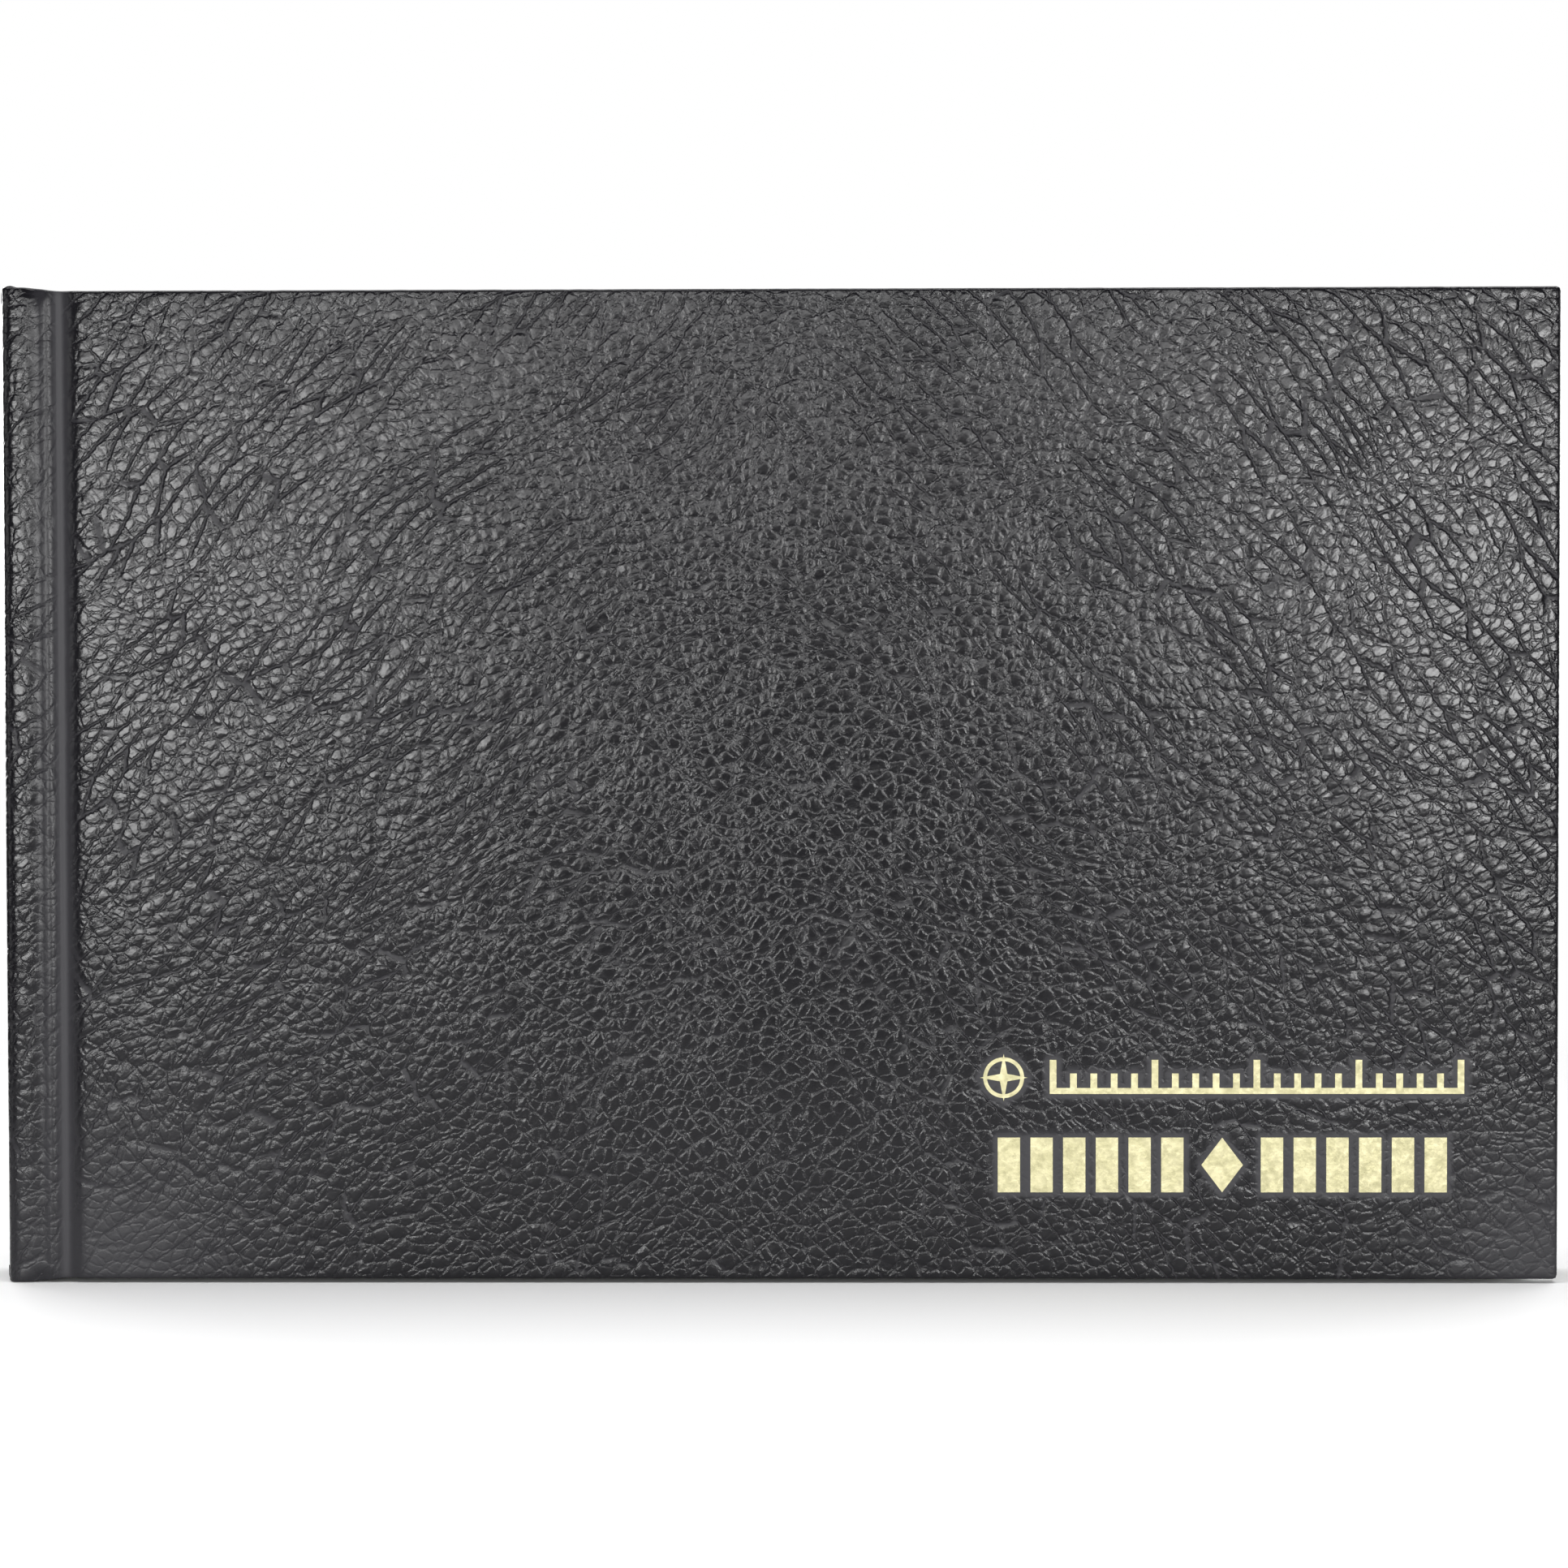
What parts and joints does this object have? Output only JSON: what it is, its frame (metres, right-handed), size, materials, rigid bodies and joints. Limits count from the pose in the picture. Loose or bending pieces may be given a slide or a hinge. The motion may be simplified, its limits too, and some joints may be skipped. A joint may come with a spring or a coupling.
{
  "type": "pilot logbook",
  "caption": "Landscape hardcover flight logbook: two leatherette-covered boards hinged at a flat spine, sewn ledger sections, endpapers and turning leaves, gold-stamped front.",
  "frame": {"origin": "centre of the closed book's footprint, on the surface it stands on", "axes": "+X from the spine to the fore edge, +Y from the front cover to the back cover, +Z from tail to head; the book stands on its tail edge"},
  "size_m": [0.2092, 0.0156, 0.1344],
  "materials": {
    "greyboard": "matt grey-brown binder's board",
    "leatherette": "charcoal imitation leather with a fine pebbled and creased grain, satin",
    "gold_foil": "pale gold hot-stamped foil, bright",
    "endpaper": "smooth off-white endpaper, matt",
    "ledger_paper": "uncoated pale green-white ledger paper, matt",
    "kraft": "brown kraft paper",
    "gauze": "open starched gauze",
    "thread": "waxed linen thread",
    "band": "woven cotton band, black and white"
  },
  "bodies": {
    "text_block": {"spine_card": "greyboard", "spine_leatherette": "leatherette", "spine_lining": "kraft", "mull": "gauze", "sewing_thread": "thread", "head_band": "band", "tail_band": "band", "front_endpaper_joint": "endpaper", "back_endpaper_joint": "endpaper", "section_1": "ledger_paper", "section_2": "ledger_paper", "section_3": "ledger_paper", "section_4": "ledger_paper", "section_5": "ledger_paper", "section_6": "ledger_paper"},
    "front_cover": {"front_board": "greyboard", "front_leatherette": "leatherette", "front_pastedown": "endpaper", "front_mull_flap": "gauze", "foil_emblem": "gold_foil", "foil_scale": "gold_foil", "foil_stripes": "gold_foil"},
    "back_cover": {"back_board": "greyboard", "back_leatherette": "leatherette", "back_pastedown": "endpaper", "back_mull_flap": "gauze"},
    "flyleaf_front": {"front_flyleaf": "endpaper"},
    "flyleaf_back": {"back_flyleaf": "endpaper"},
    "page_front_1": {"front_leaf_1": "ledger_paper"},
    "page_front_2": {"front_leaf_2": "ledger_paper"},
    "page_front_3": {"front_leaf_3": "ledger_paper"},
    "page_front_4": {"front_leaf_4": "ledger_paper"},
    "page_front_5": {"front_leaf_5": "ledger_paper"},
    "page_front_6": {"front_leaf_6": "ledger_paper"},
    "page_front_7": {"front_leaf_7": "ledger_paper"},
    "page_back_1": {"back_leaf_1": "ledger_paper"},
    "page_back_2": {"back_leaf_2": "ledger_paper"},
    "page_back_3": {"back_leaf_3": "ledger_paper"}
  },
  "joints": [
    {"name": "front_cover_hinge", "type": "hinge", "parent": "text_block", "child": "front_cover", "pos_m": [-0.09675, -0.00826, 0.0672], "axis": [0, 0, -1], "range_deg": [0, 180]},
    {"name": "back_cover_hinge", "type": "hinge", "parent": "text_block", "child": "back_cover", "pos_m": [-0.09675, 0.00826, 0.0672], "axis": [0, 0, 1], "range_deg": [0, 180]},
    {"name": "front_flyleaf_turn", "type": "hinge", "parent": "text_block", "child": "flyleaf_front", "pos_m": [-0.09675, -0.00826, 0.0672], "axis": [0, 0, -1], "range_deg": [0, 169.7]},
    {"name": "front_page_1_turn", "type": "hinge", "parent": "text_block", "child": "page_front_1", "pos_m": [-0.09675, -0.00826, 0.0672], "axis": [0, 0, -1], "range_deg": [0, 153.5]},
    {"name": "front_page_2_turn", "type": "hinge", "parent": "text_block", "child": "page_front_2", "pos_m": [-0.09675, -0.00826, 0.0672], "axis": [0, 0, -1], "range_deg": [0, 135.5]},
    {"name": "front_page_3_turn", "type": "hinge", "parent": "text_block", "child": "page_front_3", "pos_m": [-0.09675, -0.00826, 0.0672], "axis": [0, 0, -1], "range_deg": [0, 115.7]},
    {"name": "front_page_4_turn", "type": "hinge", "parent": "text_block", "child": "page_front_4", "pos_m": [-0.09675, -0.00826, 0.0672], "axis": [0, 0, -1], "range_deg": [0, 95.9]},
    {"name": "front_page_5_turn", "type": "hinge", "parent": "text_block", "child": "page_front_5", "pos_m": [-0.09675, -0.00826, 0.0672], "axis": [0, 0, -1], "range_deg": [0, 74.3]},
    {"name": "front_page_6_turn", "type": "hinge", "parent": "text_block", "child": "page_front_6", "pos_m": [-0.09675, -0.00826, 0.0672], "axis": [0, 0, -1], "range_deg": [0, 52.7]},
    {"name": "front_page_7_turn", "type": "hinge", "parent": "text_block", "child": "page_front_7", "pos_m": [-0.09675, -0.00826, 0.0672], "axis": [0, 0, -1], "range_deg": [0, 29.3]},
    {"name": "back_flyleaf_turn", "type": "hinge", "parent": "text_block", "child": "flyleaf_back", "pos_m": [-0.09675, 0.00826, 0.0672], "axis": [0, 0, 1], "range_deg": [0, 162.5]},
    {"name": "back_page_1_turn", "type": "hinge", "parent": "text_block", "child": "page_back_1", "pos_m": [-0.09675, 0.00826, 0.0672], "axis": [0, 0, 1], "range_deg": [0, 126.5]},
    {"name": "back_page_2_turn", "type": "hinge", "parent": "text_block", "child": "page_back_2", "pos_m": [-0.09675, 0.00826, 0.0672], "axis": [0, 0, 1], "range_deg": [0, 86.9]},
    {"name": "back_page_3_turn", "type": "hinge", "parent": "text_block", "child": "page_back_3", "pos_m": [-0.09675, 0.00826, 0.0672], "axis": [0, 0, 1], "range_deg": [0, 43.7]}
  ],
  "couplings": [
    {"joint": "front_flyleaf_turn", "follows": "front_cover_hinge", "ratio": 0.94},
    {"joint": "front_page_1_turn", "follows": "front_cover_hinge", "ratio": 0.85},
    {"joint": "front_page_2_turn", "follows": "front_cover_hinge", "ratio": 0.75},
    {"joint": "front_page_3_turn", "follows": "front_cover_hinge", "ratio": 0.64},
    {"joint": "front_page_4_turn", "follows": "front_cover_hinge", "ratio": 0.53},
    {"joint": "front_page_5_turn", "follows": "front_cover_hinge", "ratio": 0.41},
    {"joint": "front_page_6_turn", "follows": "front_cover_hinge", "ratio": 0.29},
    {"joint": "front_page_7_turn", "follows": "front_cover_hinge", "ratio": 0.16},
    {"joint": "back_flyleaf_turn", "follows": "back_cover_hinge", "ratio": 0.9},
    {"joint": "back_page_1_turn", "follows": "back_cover_hinge", "ratio": 0.7},
    {"joint": "back_page_2_turn", "follows": "back_cover_hinge", "ratio": 0.48},
    {"joint": "back_page_3_turn", "follows": "back_cover_hinge", "ratio": 0.24}
  ]
}
